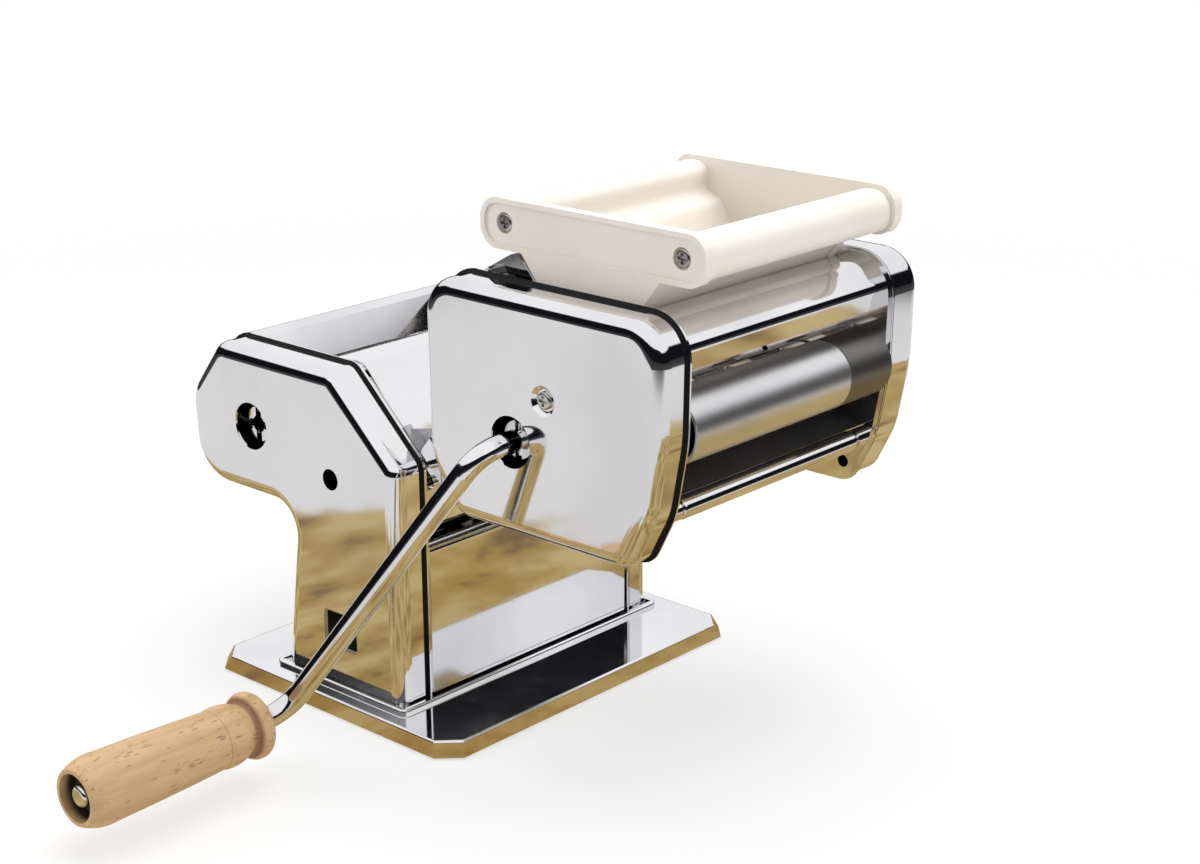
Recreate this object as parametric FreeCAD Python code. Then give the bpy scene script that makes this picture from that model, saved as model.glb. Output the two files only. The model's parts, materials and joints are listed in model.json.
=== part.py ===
import FreeCAD, Part
import math
import os

V = FreeCAD.Vector
os.makedirs("parts", exist_ok=True)

# Millimetres. +X points to the ravioli unit, +Y along the rollers away from the crank,
# +Z up. The origin is under the middle of the base, on the table.

# ---- sheet metal, clearances, fits ----
sheet = 1.2
frame_thick = 2.0
seat_gap = 0.3
running_gap = 0.08
press_gap = 0.02
cut_reach = 300.0

# ---- cross head screws ----
screw_head_radius = 4.4
screw_head_height = 2.0
screw_shank_radius = 1.95
screw_sink = 0.8
cover_screw_length = 10.2
hopper_screw_length = 8.0

# ---- side frames and covers (both machines stand between the same two planes) ----
roller_length = 148.0
roller_end_gap = 2.0
frame_inner_y = roller_length / 2 + roller_end_gap
frame_outer_y = frame_inner_y + frame_thick
panel_gap = 0.01
cover_depth = 20.0
cover_round = 8.0
cover_flange = 1.6
face_y = frame_outer_y + cover_depth

# ---- base tray ----
base_half_x = 91.3
base_margin_y = 13.0
base_half_y = face_y + base_margin_y
base_corner = 11.0
base_flare = 3.5
deck_z = 9.0
deck_edge_round = 1.4
skirt_z = 1.2
bead_width = 3.0
bead_height = 2.5
bead_corner = 5.0
bead_round = 1.2
foot_radius = 8.0
foot_draft = 1.5
foot_height = deck_z - sheet
foot_inset = 18.0

# ---- sheet rolling machine ----
machine_top = 184.0
head_left = -119.0
head_belly = 2.5
head_belly_z = 152.0
head_low = 102.5
head_top_left = -96.0
column_left_top = -37.0
column_left_low = -50.0
column_right = 43.5
rail_low_z = 140.0
rail_top_x = -4.0
sheet_roller_radius = 14.5
sheet_roller_z = 141.5
fixed_roller_x = -69.0
thinnest_sheet = 0.6
roller_travel = 2.4
shaft_radius = 6.0
bush_wall = 2.5
bush_flange = 2.0
bush_flange_thick = 0.8
small_hole_x = -6.0
small_hole_z = 125.7
small_hole_radius = 5.8
clamp_hole_x = -2.9
clamp_hole_z = 41.2
clamp_hole_width = 25.4
clamp_hole_height = 21.0
clamp_hole_corner = 3.0
clamp_sleeve_inside = 12.0
cover_below_deck = 40.0
wall_panel_top = 96.0
wall_panel_fold = 4.0
wall_panel_lean = 0.5
inner_panel_low = 106.0
back_panel_inside = 5.5
back_panel_lip = 12.0
back_panel_rise = 4.0
back_panel_knee_z = 60.0
slope_low_z = 129.0
spacer_radius = 4.5
spacer_places = ((24.0, 28.0), (-22.0, 72.0), (-30.0, 160.0), (22.0, 120.0))
bearing_slide_gap = 0.3
scraper_angle = 40.0
scraper_gap = 0.5
scraper_length = 9.0
scraper_thick = 2.0
scraper_slant = 1.5
scraper_rod_radius = 2.5

# ---- dough's way in over the sheet rollers, and the drip edge on the head ----
feed_right = -27.0
feed_left = -98.5
throat_right = -71.0
throat_left = -92.5
throat_z = 159.5
panel_drop = 2.5
drip_left = -127.0
drip_z = 162.5
drip_lip = 9.0
head_panel_deep = 32.0

# ---- rails on the machine, hooks on the ravioli unit ----
rail_width = 6.0
rail_inset = 2.0
rail_thick = 3.0
rail_start = 8.0
rail_end = 4.0
rail_stop = 3.0
stop_height = 2.4
track_run_up = 30.0
track_run_on = 12.0
track_height = 30.0
hook_thick = 2.0
hook_length = 16.0
hook_jaw = 3.0
strap_end_x = 84.0
strap_top_z = 168.0
strap_low_z = 146.0
strap_inset = 1.0
strap_round = 2.0
pad_width = 12.0
pad_inset = 4.0

# ---- gears ----
gear_pressure = 25.0
gear_backlash = 0.35
gear_addendum = 0.9
gear_dedendum = 1.1
sheet_gear_teeth = 14
mould_gear_teeth = 20
gear_width = 8.0
gear_side_gap = 1.0

# ---- thickness regulator ----
follower_length = 32.0
follower_width = 16.0
follower_corner = 7.5
follower_thick = 2.4
follower_gap = 0.6
follower_tail_radius = 4.0
cam_radius = 13.0
cam_thick = 3.4
cam_groove_width = 4.2
cam_groove_depth = 3.0
cam_groove_over_run = 20.0
cam_pin_gap = 0.4
cam_pin_radius = 1.6
cam_groove_start = 5.3
knob_turn_degrees = 300.0
knob_radius = 18.0
knob_length = 15.0
knob_round = 2.5
knob_cap = 3.0
knob_pull = 1.0
knob_flutes = 18
flute_radius = 2.2
flute_start = 4.0
flute_ring = knob_radius + 1.2
knob_shaft_radius = 4.0

# ---- ravioli unit ----
unit_x = 147.0
cover_x = 142.5
unit_half_top = 76.5
unit_half_waist = 75.3
unit_half_knee = 68.5
unit_half_low = 55.0
unit_half_low_back = 55.5
unit_far_depth = 26.5
unit_top = 248.0
unit_waist_z = 190.0
unit_knee_z = 154.0
unit_low = 127.5
mould_axis_half = 21.4
mould_gap = 0.4
mould_z = 175.0
mould_rows = 3
mould_columns = 3
pocket_pitch = 45.0
pocket_width = 34.0
pocket_height = 32.0
pocket_depth = 5.0
pocket_draft = 3.5
pocket_round = 2.0
shell_top_z = 243.5
shell_lip = 6.0
shell_brow_z = 233.0
shell_top_inset = 15.2
brow_step = 4.0
brow_return = 1.5
brow_drop = 11.0
ridge_under = 3.6
ridge_lean = 6.85
ridge_half = 6.8
ridge_run = 18.0
guide_tube_radius = 17.5
guide_tube_half = 58.0
guide_tube_z = 193.0
guide_tube_wall = 1.6
guide_groove_y = 42.0
guide_groove_radius = 0.9
guide_groove_out = 0.3
low_rod_half = 57.0
low_rod_z = 152.0
low_rod_radius = 5.4
low_rod_neck = 3.6
low_rod_collar = 5.0
low_rod_shoulder = 8.0
low_rod_groove = 1.5
low_rod_round = 1.6
stripper_angle = 25.0
stripper_gap = 0.6
stripper_thick = 3.0
stripper_lap = 2.0
stripper_slot_deep = 5.0
stripper_slot_half = 1.5
slots_per_pocket = 4
centre_screw_z = 199.7
crank_hole_radius = 13.0
dimple_radius = 7.5
dimple_depth = 2.2
post_radius = 5.0
corner_hole_across = 52.0
corner_hole_up = 9.5
corner_hole_radius = 3.2
arm_root = 40.0
arm_past_rail = 14.0
arm_over_rail = 6.0
arm_lift = 3.0
arm_drop = 23.0
arm_inside = 4.0

# ---- hopper ----
hopper_x = 155.3
hopper_half_x = 70.0
hopper_side_gap = 1.0
hopper_half_y = frame_inner_y - hopper_side_gap
hopper_ledge = unit_top + 12.5
hopper_height = 24.9
hopper_top = hopper_ledge + hopper_height
hopper_corner = 11.0
hopper_ledge_half = 43.0
hopper_funnel_z = unit_top + 0.5
hopper_funnel_half = 33.6
hopper_throat_half = 9.0
hopper_throat_z = mould_z + 32.0
hopper_wall = 4.0
hopper_end_wall = 6.0
hopper_mouth_half = 47.0
hopper_mouth_round = 7.0
hopper_mouth_z = hopper_ledge + 7.5
hopper_shelf_half = hopper_ledge_half - 5.5
hopper_shelf_z = hopper_ledge + 3.5
hopper_screw_half = 55.0
hopper_rim = 2.6
hopper_panel_deep = 1.2
hopper_bar_inset = 2.4
hopper_bar_corner = 9.5
hopper_bar_shrink = 1.0
screw_seat = 3.4
hopper_screw_z = hopper_ledge + 12.8

# ---- crank ----
rod_radius = 5.6
crank_corner_y = -119.0
crank_end_x = 31.8
crank_end_y = -165.1
crank_end_z = 30.0
crank_bend = 18.0
socket_radius = 9.5
socket_bore = 4.6
socket_depth = 12.0
socket_slot = 4.4
socket_slot_depth = 5.0
collar_gap = 2.0
socket_recess = 5.5
drive_pin_radius = 1.7
drive_pin_inset = 1.5
drive_pin_sunk = 0.6
crank_stand_off = 3.0
crank_stub_gap = 1.5
crank_tip_round = 2.2
washer_radius = 9.0
washer_thick = 1.6
grip_start_y = -184.6
grip_length = 107.0
grip_radius = 17.3
grip_neck = 14.8
grip_recess_radius = 12.0
grip_recess_depth = 9.0

# ---- worked out from the sizes above ----
moving_roller_x = fixed_roller_x - 2 * sheet_roller_radius - thinnest_sheet
driven_mould_x = unit_x - mould_axis_half
idle_mould_x = unit_x + mould_axis_half
mould_radius = mould_axis_half - mould_gap / 2
crank_tip_y = grip_start_y - grip_length + crank_stub_gap
roller_half = roller_length / 2
panel_half = frame_inner_y - panel_gap
gear_start_y = frame_outer_y + gear_side_gap
gear_end_y = gear_start_y + gear_width
socket_face_y = -(face_y - socket_recess)
rail_dx = column_right - rail_top_x
rail_dz = rail_low_z - machine_top
rail_run = math.hypot(rail_dx, rail_dz)
rail_down = V(rail_dx / rail_run, 0, rail_dz / rail_run)
rail_normal = V(-rail_down.z, 0, rail_down.x)
follower_y = gear_end_y + follower_gap
cam_y = follower_y + follower_thick + seat_gap
groove_middle = cam_groove_start + cam_pin_radius


def save(name, *solids):
    solid = solids[0] if len(solids) == 1 else Part.makeCompound(list(solids))
    solid.exportStep(f"parts/{name}.step")
    volume = sum(piece.Volume for piece in solid.Solids)
    print(f"{name}: {len(solid.Solids)} solid, {volume / 1000:.1f} cm3, valid {solid.isValid()}")


def mirror_y(solid):
    return solid.mirror(V(0, 0, 0), V(0, 1, 0))


def mirror_unit(solid):
    return solid.mirror(V(unit_x, 0, 0), V(1, 0, 0))


# A closed outline in the plane Y = y. Each corner is x, z and the radius of its arc.
def outline(corners, y):
    starts, ends, middles = [], [], []
    count = len(corners)
    for index, (x, z, radius) in enumerate(corners):
        corner = V(x, y, z)
        before = corners[index - 1]
        after = corners[(index + 1) % count]
        back = (V(before[0], y, before[1]) - corner).normalize()
        ahead = (V(after[0], y, after[1]) - corner).normalize()
        half = back.getAngle(ahead) / 2
        reach = radius / math.tan(half)
        centre = corner + (back + ahead).normalize() * (radius / math.sin(half))
        starts.append(corner + back * reach)
        ends.append(corner + ahead * reach)
        middles.append(centre + (corner - centre).normalize() * radius if radius else corner)
    edges = []
    for index in range(count):
        if corners[index][2] > 0:
            edges.append(Part.Arc(starts[index], middles[index], ends[index]).toShape())
        following = (index + 1) % count
        if (starts[following] - ends[index]).Length > 1e-6:
            edges.append(Part.LineSegment(ends[index], starts[following]).toShape())
    return Part.Wire(edges)


# A plate with that outline, from one Y to another.
def plate(corners, y_start, y_end):
    return Part.Face(outline(corners, y_start)).extrude(V(0, y_end - y_start, 0))


def rod_y(x, z, radius, y_start, y_end):
    return Part.makeCylinder(radius, y_end - y_start, V(x, y_start, z), V(0, 1, 0))


def block(x_start, x_end, y_start, y_end, z_start, z_end):
    size = V(x_end - x_start, y_end - y_start, z_end - z_start)
    return Part.makeBox(size.x, size.y, size.z, V(x_start, y_start, z_start))


def rounded_rect(x, z, width, height, radius):
    return [(x - width / 2, z + height / 2, radius), (x + width / 2, z + height / 2, radius),
            (x + width / 2, z - height / 2, radius), (x - width / 2, z - height / 2, radius)]


# Side frame and cover outlines. The machine's runs on below the deck so that the cover's
# rounded face edge ends flat on the base.
def machine_outline(floor_z):
    lean = (column_left_low - column_left_top) / (deck_z - head_low)
    column_left = column_left_top + lean * (floor_z - head_low)
    return [(head_top_left, machine_top, 14), (head_left - head_belly, head_belly_z, 20),
            (head_left, head_low, 26),
            (column_left_top, head_low, 16), (column_left, floor_z, 0),
            (column_right, floor_z, 0), (column_right, rail_low_z, 9), (rail_top_x, machine_top, 9)]


def unit_outline():
    return [(cover_x - unit_half_top, unit_top, 20), (cover_x + unit_half_top, unit_top, 20),
            (cover_x + unit_half_waist, unit_waist_z, 80), (cover_x + unit_half_knee, unit_knee_z, 50),
            (cover_x + unit_half_low, unit_low, 11), (cover_x - unit_half_low_back, unit_low, 13),
            (cover_x - unit_half_waist, unit_knee_z, 36)]


# A pressed cover on the near side: a flange on the frame and a dished cap with a round edge.
def pressed_cover(corners, floor_z, depth):
    def pressed(shape, radius):
        body = shape.extrude(V(0, depth, 0))
        rounded = [edge for edge in body.Edges
                   if all(abs(v.Point.y - flat_y) < 1e-6 for v in edge.Vertexes)
                   and max(v.Point.z for v in edge.Vertexes) > floor_z]
        return body.makeFillet(radius, rounded)

    flat_y = -frame_outer_y - depth
    flat = Part.Face(outline(corners, flat_y))
    cap = pressed(flat, cover_round)
    hollow = pressed(flat.makeOffset2D(-sheet), cover_round - sheet)
    hollow.translate(V(0, sheet, 0))
    flange = flat.makeOffset2D(cover_flange).extrude(V(0, sheet, 0))
    flange.translate(V(0, depth - sheet, 0))
    return cap.fuse(flange).cut(hollow)


# ---- base ----
def octagon(half_x, half_y, corner, z):
    points = []
    for sx, sy, first_x in ((1, 1, False), (-1, 1, True), (-1, -1, False), (1, -1, True)):
        along = V(sx * half_x, sy * (half_y - corner), z)
        across = V(sx * (half_x - corner), sy * half_y, z)
        points += [across, along] if first_x else [along, across]
    return Part.makePolygon(points + [points[0]])


# A raised bead on the tray, all round the foot of the column.
def foot_bead():
    def foot(margin, low, high):
        return block(column_left_low - cover_flange - margin, column_right + cover_flange + margin,
                     -face_y - margin, face_y + margin, low, high)

    top_z = deck_z + bead_height
    bead = foot(seat_gap + bead_width, deck_z - sheet, top_z)
    bead = bead.makeFillet(bead_corner, [edge for edge in bead.Edges
                                         if edge.Vertexes[0].Point.z != edge.Vertexes[1].Point.z])
    rim = [edge for edge in bead.Edges if all(abs(v.Point.z - top_z) < 1e-6 for v in edge.Vertexes)]
    return bead.makeFillet(bead_round, rim).cut(foot(seat_gap, 0, top_z + 1))


def make_base_tray():
    skirt = base_flare * (deck_z - skirt_z) / deck_z
    outer = Part.makeLoft([octagon(base_half_x + skirt, base_half_y + skirt, base_corner, skirt_z),
                           octagon(base_half_x, base_half_y, base_corner, deck_z)], True, True)
    rim = [edge for edge in outer.Edges if all(abs(v.Point.z - deck_z) < 1e-6 for v in edge.Vertexes)]
    outer = outer.makeFillet(deck_edge_round, rim)
    inner = Part.makeLoft([octagon(base_half_x + skirt - sheet, base_half_y + skirt - sheet,
                                   base_corner, skirt_z - 0.01),
                           octagon(base_half_x - sheet, base_half_y - sheet, base_corner,
                                   deck_z - sheet)], True, True)
    save("base_tray", outer.cut(inner).fuse(foot_bead()))


def make_feet():
    feet = []
    for sx in (-1, 1):
        for sy in (-1, 1):
            place = V(sx * (base_half_x - foot_inset), sy * (base_half_y - foot_inset), 0)
            foot = Part.makeCone(foot_radius - foot_draft, foot_radius, foot_height, place)
            feet.append(foot)
    save("rubber_feet", *feet)


# ---- machine side frames, rails and covers ----
def bush_hole(x, z):
    return rod_y(x, z, shaft_radius + bush_wall, -cut_reach, cut_reach)


def slide_slot(x, z):
    radius = shaft_radius + bush_wall
    width = 2 * radius + roller_travel + 2 * bearing_slide_gap
    slot = rounded_rect(x - roller_travel / 2, z, width, 2 * radius + 2 * running_gap, radius)
    return plate(slot, -cut_reach, cut_reach)


def clamp_hole(smaller):
    return rounded_rect(clamp_hole_x, clamp_hole_z, clamp_hole_width - 2 * smaller,
                        clamp_hole_height - 2 * smaller, clamp_hole_corner - smaller)


def make_machine_frames():
    body = plate(machine_outline(deck_z), -frame_outer_y, -frame_inner_y)
    body = body.cut(bush_hole(fixed_roller_x, sheet_roller_z))
    body = body.cut(slide_slot(moving_roller_x, sheet_roller_z))
    body = body.cut(plate(clamp_hole(0), -cut_reach, cut_reach))
    save("near_frame", body)
    save("far_frame", mirror_y(body))


# The rail that the ravioli unit hangs on, along the frame's slanted edge.
def along_rail(distance, height):
    point = V(rail_top_x, 0, machine_top) + rail_down * distance + rail_normal * height
    return point.x, point.z


def rail_plate(start, end, low, high, y_start, y_end):
    corners = [(*along_rail(start, low), 0), (*along_rail(start, high), 0),
               (*along_rail(end, high), 0), (*along_rail(end, low), 0)]
    return plate(corners, y_start, y_end)


def make_rails():
    low = -rail_inset - rail_width
    bar = rail_plate(rail_start, rail_run - rail_end, low, -rail_inset,
                     -frame_inner_y, -frame_inner_y + rail_thick)
    foot = rail_plate(rail_run - rail_end - rail_stop, rail_run - rail_end, low, stop_height,
                      -frame_inner_y, -frame_inner_y + rail_thick)
    rail = bar.fuse(foot)
    save("near_rail", rail)
    save("far_rail", mirror_y(rail))


def under_deck():
    return block(-cut_reach, cut_reach, -cut_reach, cut_reach, deck_z - cut_reach, deck_z)


def make_machine_covers():
    cover = pressed_cover(machine_outline(deck_z - cover_below_deck), deck_z, cover_depth)
    cover = cover.cut(under_deck()).cut(plate(clamp_hole(0), -cut_reach, cut_reach))
    near = cover.cut(rod_y(fixed_roller_x, sheet_roller_z, crank_hole_radius, -cut_reach, 0))
    near = near.cut(rod_y(small_hole_x, small_hole_z, small_hole_radius, -cut_reach, 0))
    save("near_cover", near)
    far = mirror_y(cover).cut(rod_y(moving_roller_x, sheet_roller_z,
                                    knob_shaft_radius + running_gap, 0, cut_reach))
    save("far_cover", far)


# A square sleeve joins the clamp's hole in the cover to the one in the frame.
def make_clamp_sleeves():
    outer = plate(clamp_hole(0), -face_y + sheet, -frame_inner_y + clamp_sleeve_inside)
    sleeve = outer.cut(plate(clamp_hole(sheet), -cut_reach, 0))
    save("near_clamp_sleeve", sleeve)
    save("far_clamp_sleeve", mirror_y(sleeve))


# ---- sheet metal between the machine's frames ----
def bent_strip(path_points, radii, half_length):
    edges = []
    place = V(*path_points[0])
    for index in range(1, len(path_points) - 1):
        corner = V(*path_points[index])
        back = (V(*path_points[index - 1]) - corner).normalize()
        ahead = (V(*path_points[index + 1]) - corner).normalize()
        half = back.getAngle(ahead) / 2
        radius = radii[index - 1]
        reach = radius / math.tan(half)
        centre = corner + (back + ahead).normalize() * (radius / math.sin(half))
        middle = centre + (corner - centre).normalize() * radius
        if (corner + back * reach - place).Length > 1e-6:
            edges.append(Part.LineSegment(place, corner + back * reach).toShape())
        edges.append(Part.Arc(corner + back * reach, middle, corner + ahead * reach).toShape())
        place = corner + ahead * reach
    edges.append(Part.LineSegment(place, V(*path_points[-1])).toShape())
    spine = Part.Wire(edges)
    face = spine.makeOffset2D(sheet, fill=True, openResult=True)
    face.translate(V(0, -half_length, 0))
    return face.extrude(V(0, 2 * half_length, 0))


def make_machine_panels():
    top_z = machine_top - panel_drop
    slope_x = column_right - 2
    top = bent_strip([(throat_right, 0, throat_z), (feed_right, 0, top_z), (rail_top_x - 4, 0, top_z),
                      (slope_x, 0, slope_low_z), (slope_x, 0, inner_panel_low)],
                     [4, 6, 6], panel_half)
    clear_y = frame_inner_y - rail_thick - seat_gap - hook_thick - seat_gap
    jaw_low = -rail_inset - rail_width - hook_jaw - 2 * seat_gap
    track = rail_plate(-track_run_up, rail_run + track_run_on, jaw_low, track_height,
                       -frame_inner_y - 1, -clear_y)
    save("top_and_slope_panel", top.cut(track).cut(mirror_y(track)))
    front_x = head_left - head_belly + sheet
    head = bent_strip([(throat_left, 0, throat_z), (feed_left, 0, machine_top + 1),
                       (drip_left, 0, drip_z), (front_x, 0, drip_z - drip_lip),
                       (front_x, 0, drip_z - head_panel_deep)],
                      [4, 1.8, 4], panel_half)
    save("head_front_panel", head)
    fold_x = column_right - wall_panel_fold
    wall = bent_strip([(fold_x - wall_panel_fold, 0, wall_panel_top - wall_panel_fold - 1),
                       (fold_x, 0, wall_panel_top), (column_right, 0, wall_panel_top - wall_panel_fold),
                       (column_right - wall_panel_lean, 0, deck_z)], [2.4, 3.4], panel_half)
    save("column_wall_panel", wall.cut(under_deck()))
    bend_z = head_low + back_panel_inside
    back = bent_strip([(column_left_low - back_panel_lip, 0, bend_z + back_panel_rise),
                       (column_left_top - 1, 0, bend_z),
                       (column_left_top - 3, 0, back_panel_knee_z),
                       (column_left_low + back_panel_inside - 0.5, 0, deck_z)], [14, 60], panel_half)
    save("column_back_panel", back.cut(under_deck()))


def make_machine_spacers():
    save("frame_spacer_rods", *[rod_y(x, z, spacer_radius, -frame_inner_y, frame_inner_y)
                                for x, z in spacer_places])


# ---- gears ----
def involute_point(base, along, start_angle, side):
    turn = math.sqrt(max((along / base) ** 2 - 1, 0))
    angle = start_angle + side * (turn - math.atan(turn))
    return along, angle


def gear(x, z, teeth, pitch_radius, bore, y_start, y_end, phase):
    module = 2 * pitch_radius / teeth
    base = pitch_radius * math.cos(math.radians(gear_pressure))
    tip = pitch_radius + gear_addendum * module
    root = pitch_radius - gear_dedendum * module
    flank_foot = max(base, root)
    tooth_half = (math.pi * module / 2 - gear_backlash / 2) / (2 * pitch_radius)
    spread = math.tan(math.radians(gear_pressure)) - math.radians(gear_pressure)

    def at(radius, angle):
        return V(x + radius * math.cos(angle), y_start, z + radius * math.sin(angle))

    edges = []
    pitch_angle = 2 * math.pi / teeth
    for tooth in range(teeth):
        middle = phase + tooth * pitch_angle
        low = middle - tooth_half - spread
        high = middle + tooth_half + spread
        radii = (flank_foot, (flank_foot + tip) / 2, tip)
        rising = [at(*involute_point(base, radius, low, 1)) for radius in radii]
        falling = [at(*involute_point(base, radius, high, -1)) for radius in radii]
        next_low = low + pitch_angle
        edges.append(Part.LineSegment(at(root, low), rising[0]).toShape())
        edges.append(Part.Arc(*rising).toShape())
        edges.append(Part.Arc(rising[2], at(tip, middle), falling[2]).toShape())
        edges.append(Part.Arc(falling[2], falling[1], falling[0]).toShape())
        edges.append(Part.LineSegment(falling[0], at(root, high)).toShape())
        edges.append(Part.Arc(at(root, high), at(root, (high + next_low) / 2),
                              at(root, next_low)).toShape())
    body = Part.Face(Part.Wire(edges)).extrude(V(0, y_end - y_start, 0))
    return body.cut(rod_y(x, z, bore, y_start - 1, y_end + 1))


def make_gears():
    sheet_pitch = (fixed_roller_x - moving_roller_x) / 2
    bore = shaft_radius + press_gap
    save("fixed_roller_gear", gear(fixed_roller_x, sheet_roller_z, sheet_gear_teeth, sheet_pitch,
                                   bore, gear_start_y, gear_end_y, math.pi))
    half_tooth = math.pi / sheet_gear_teeth
    save("moving_roller_gear", gear(moving_roller_x, sheet_roller_z, sheet_gear_teeth, sheet_pitch,
                                    bore, gear_start_y, gear_end_y, half_tooth))
    save("driven_mould_gear", gear(driven_mould_x, mould_z, mould_gear_teeth, mould_axis_half,
                                   bore, gear_start_y, gear_end_y, 0))
    half_tooth = math.pi / mould_gear_teeth
    save("idle_mould_gear", gear(idle_mould_x, mould_z, mould_gear_teeth, mould_axis_half,
                                 bore, gear_start_y, gear_end_y, math.pi + half_tooth))


# ---- rollers ----
# A shaft that ends in the crank's socket: a round bore with a slot across its mouth.
def socket_shaft(x, z):
    shaft = rod_y(x, z, shaft_radius, socket_face_y + socket_depth, -roller_half)
    collar = rod_y(x, z, socket_radius, socket_face_y, -frame_outer_y - collar_gap)
    bore = rod_y(x, z, socket_bore, -cut_reach, socket_face_y + socket_depth)
    slot = block(x - socket_slot / 2, x + socket_slot / 2, -cut_reach, socket_face_y + socket_slot_depth,
                 z - socket_radius, z + socket_radius)
    return shaft.fuse(collar).cut(bore).cut(slot)


def make_sheet_rollers():
    far_end = gear_end_y
    drum = rod_y(fixed_roller_x, sheet_roller_z, sheet_roller_radius, -roller_half, roller_half)
    shaft = rod_y(fixed_roller_x, sheet_roller_z, shaft_radius, roller_half, far_end)
    save("fixed_sheet_roller", drum.fuse(shaft).fuse(socket_shaft(fixed_roller_x, sheet_roller_z)))
    drum = rod_y(moving_roller_x, sheet_roller_z, sheet_roller_radius, -roller_half, roller_half)
    shaft = rod_y(moving_roller_x, sheet_roller_z, shaft_radius, -frame_outer_y, far_end)
    tail = rod_y(moving_roller_x, sheet_roller_z, follower_tail_radius,
                 far_end, follower_y + follower_thick)
    save("moving_sheet_roller", drum.fuse(shaft).fuse(tail))


# One ravioli pocket: a square hollow with drafted walls, cut into the roller from outside.
def pocket(x, z, y, angle):
    floor = mould_radius - pocket_depth
    mouth = mould_radius + pocket_round
    grow = pocket_draft * (mouth - floor) / pocket_depth

    def square(distance, extra):
        half_y = pocket_width / 2 - pocket_draft + extra
        half_z = pocket_height / 2 - pocket_draft + extra
        points = [V(distance, half_y, half_z), V(distance, -half_y, half_z),
                  V(distance, -half_y, -half_z), V(distance, half_y, -half_z)]
        return Part.makePolygon(points + [points[0]])

    tool = Part.makeLoft([square(floor, 0), square(mouth, grow)], True, True)
    corners = [edge for edge in tool.Edges
               if abs(edge.Vertexes[0].Point.x - edge.Vertexes[1].Point.x) > 1]
    tool = tool.makeFillet(pocket_round * 2, corners)
    tool.rotate(V(0, 0, 0), V(0, -1, 0), angle)
    tool.translate(V(x, y, z))
    return tool


def mould_drum(x, first_angle):
    drum = rod_y(x, mould_z, mould_radius, -roller_half, roller_half)
    tools = []
    for row in range(mould_rows):
        for column in range(mould_columns):
            y = (column - (mould_columns - 1) / 2) * pocket_pitch
            tools.append(pocket(x, mould_z, y, first_angle + row * 360 / mould_rows))
    return drum.cut(tools)


def make_mould_rollers():
    drum = mould_drum(driven_mould_x, 0)
    shaft = rod_y(driven_mould_x, mould_z, shaft_radius, roller_half, gear_end_y)
    save("driven_mould_roller", drum.fuse(shaft).fuse(socket_shaft(driven_mould_x, mould_z)))
    drum = mould_drum(idle_mould_x, 180)
    shaft = rod_y(idle_mould_x, mould_z, shaft_radius, -frame_outer_y - 4, gear_end_y)
    save("idle_mould_roller", drum.fuse(shaft))


# ---- bushes ----
def bush(x, z):
    outer = rod_y(x, z, shaft_radius + bush_wall, -frame_outer_y, -frame_inner_y)
    flange = rod_y(x, z, shaft_radius + bush_wall + bush_flange, -frame_outer_y - bush_flange_thick,
                   -frame_outer_y)
    return outer.fuse(flange).cut(rod_y(x, z, shaft_radius + running_gap, -cut_reach, 0))


def make_bushes():
    near = bush(fixed_roller_x, sheet_roller_z)
    save("fixed_roller_bushes", near, mirror_y(near))
    near = bush(driven_mould_x, mould_z)
    save("driven_mould_bushes", near, mirror_y(near))
    near = bush(idle_mould_x, mould_z)
    save("idle_mould_bushes", near, mirror_y(near))


# ---- thickness regulator ----
def make_moving_bearings():
    radius = shaft_radius + bush_wall
    near = rod_y(moving_roller_x, sheet_roller_z, radius, -frame_outer_y, -frame_inner_y)
    near = near.cut(rod_y(moving_roller_x, sheet_roller_z, shaft_radius + running_gap, -cut_reach, 0))
    save("moving_roller_bearings", near, mirror_y(near))
    arm = plate(rounded_rect(moving_roller_x, sheet_roller_z, follower_length, follower_width,
                             follower_corner), follower_y, follower_y + follower_thick)
    arm = arm.cut(rod_y(moving_roller_x, sheet_roller_z, follower_tail_radius + running_gap,
                        0, cut_reach))
    pin = rod_y(moving_roller_x - groove_middle, sheet_roller_z, cam_pin_radius,
                follower_y + follower_thick, cam_y + cam_groove_depth - cam_pin_gap)
    save("regulator_follower", arm.fuse(pin))


# The cam's spiral groove pushes the follower's pin outwards as the knob turns.
def spiral_edge(offset):
    points = []
    steps = 12
    for step in range(steps + 1):
        turn = -cam_groove_over_run + (knob_turn_degrees + 2 * cam_groove_over_run) * step / steps
        radius = groove_middle + roller_travel * turn / knob_turn_degrees + offset
        angle = math.radians(180 + turn)
        points.append(V(moving_roller_x + radius * math.cos(angle), 0,
                        sheet_roller_z + radius * math.sin(angle)))
    curve = Part.BSplineCurve()
    curve.interpolate(points)
    return curve.toShape(), points[0], points[-1]


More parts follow.
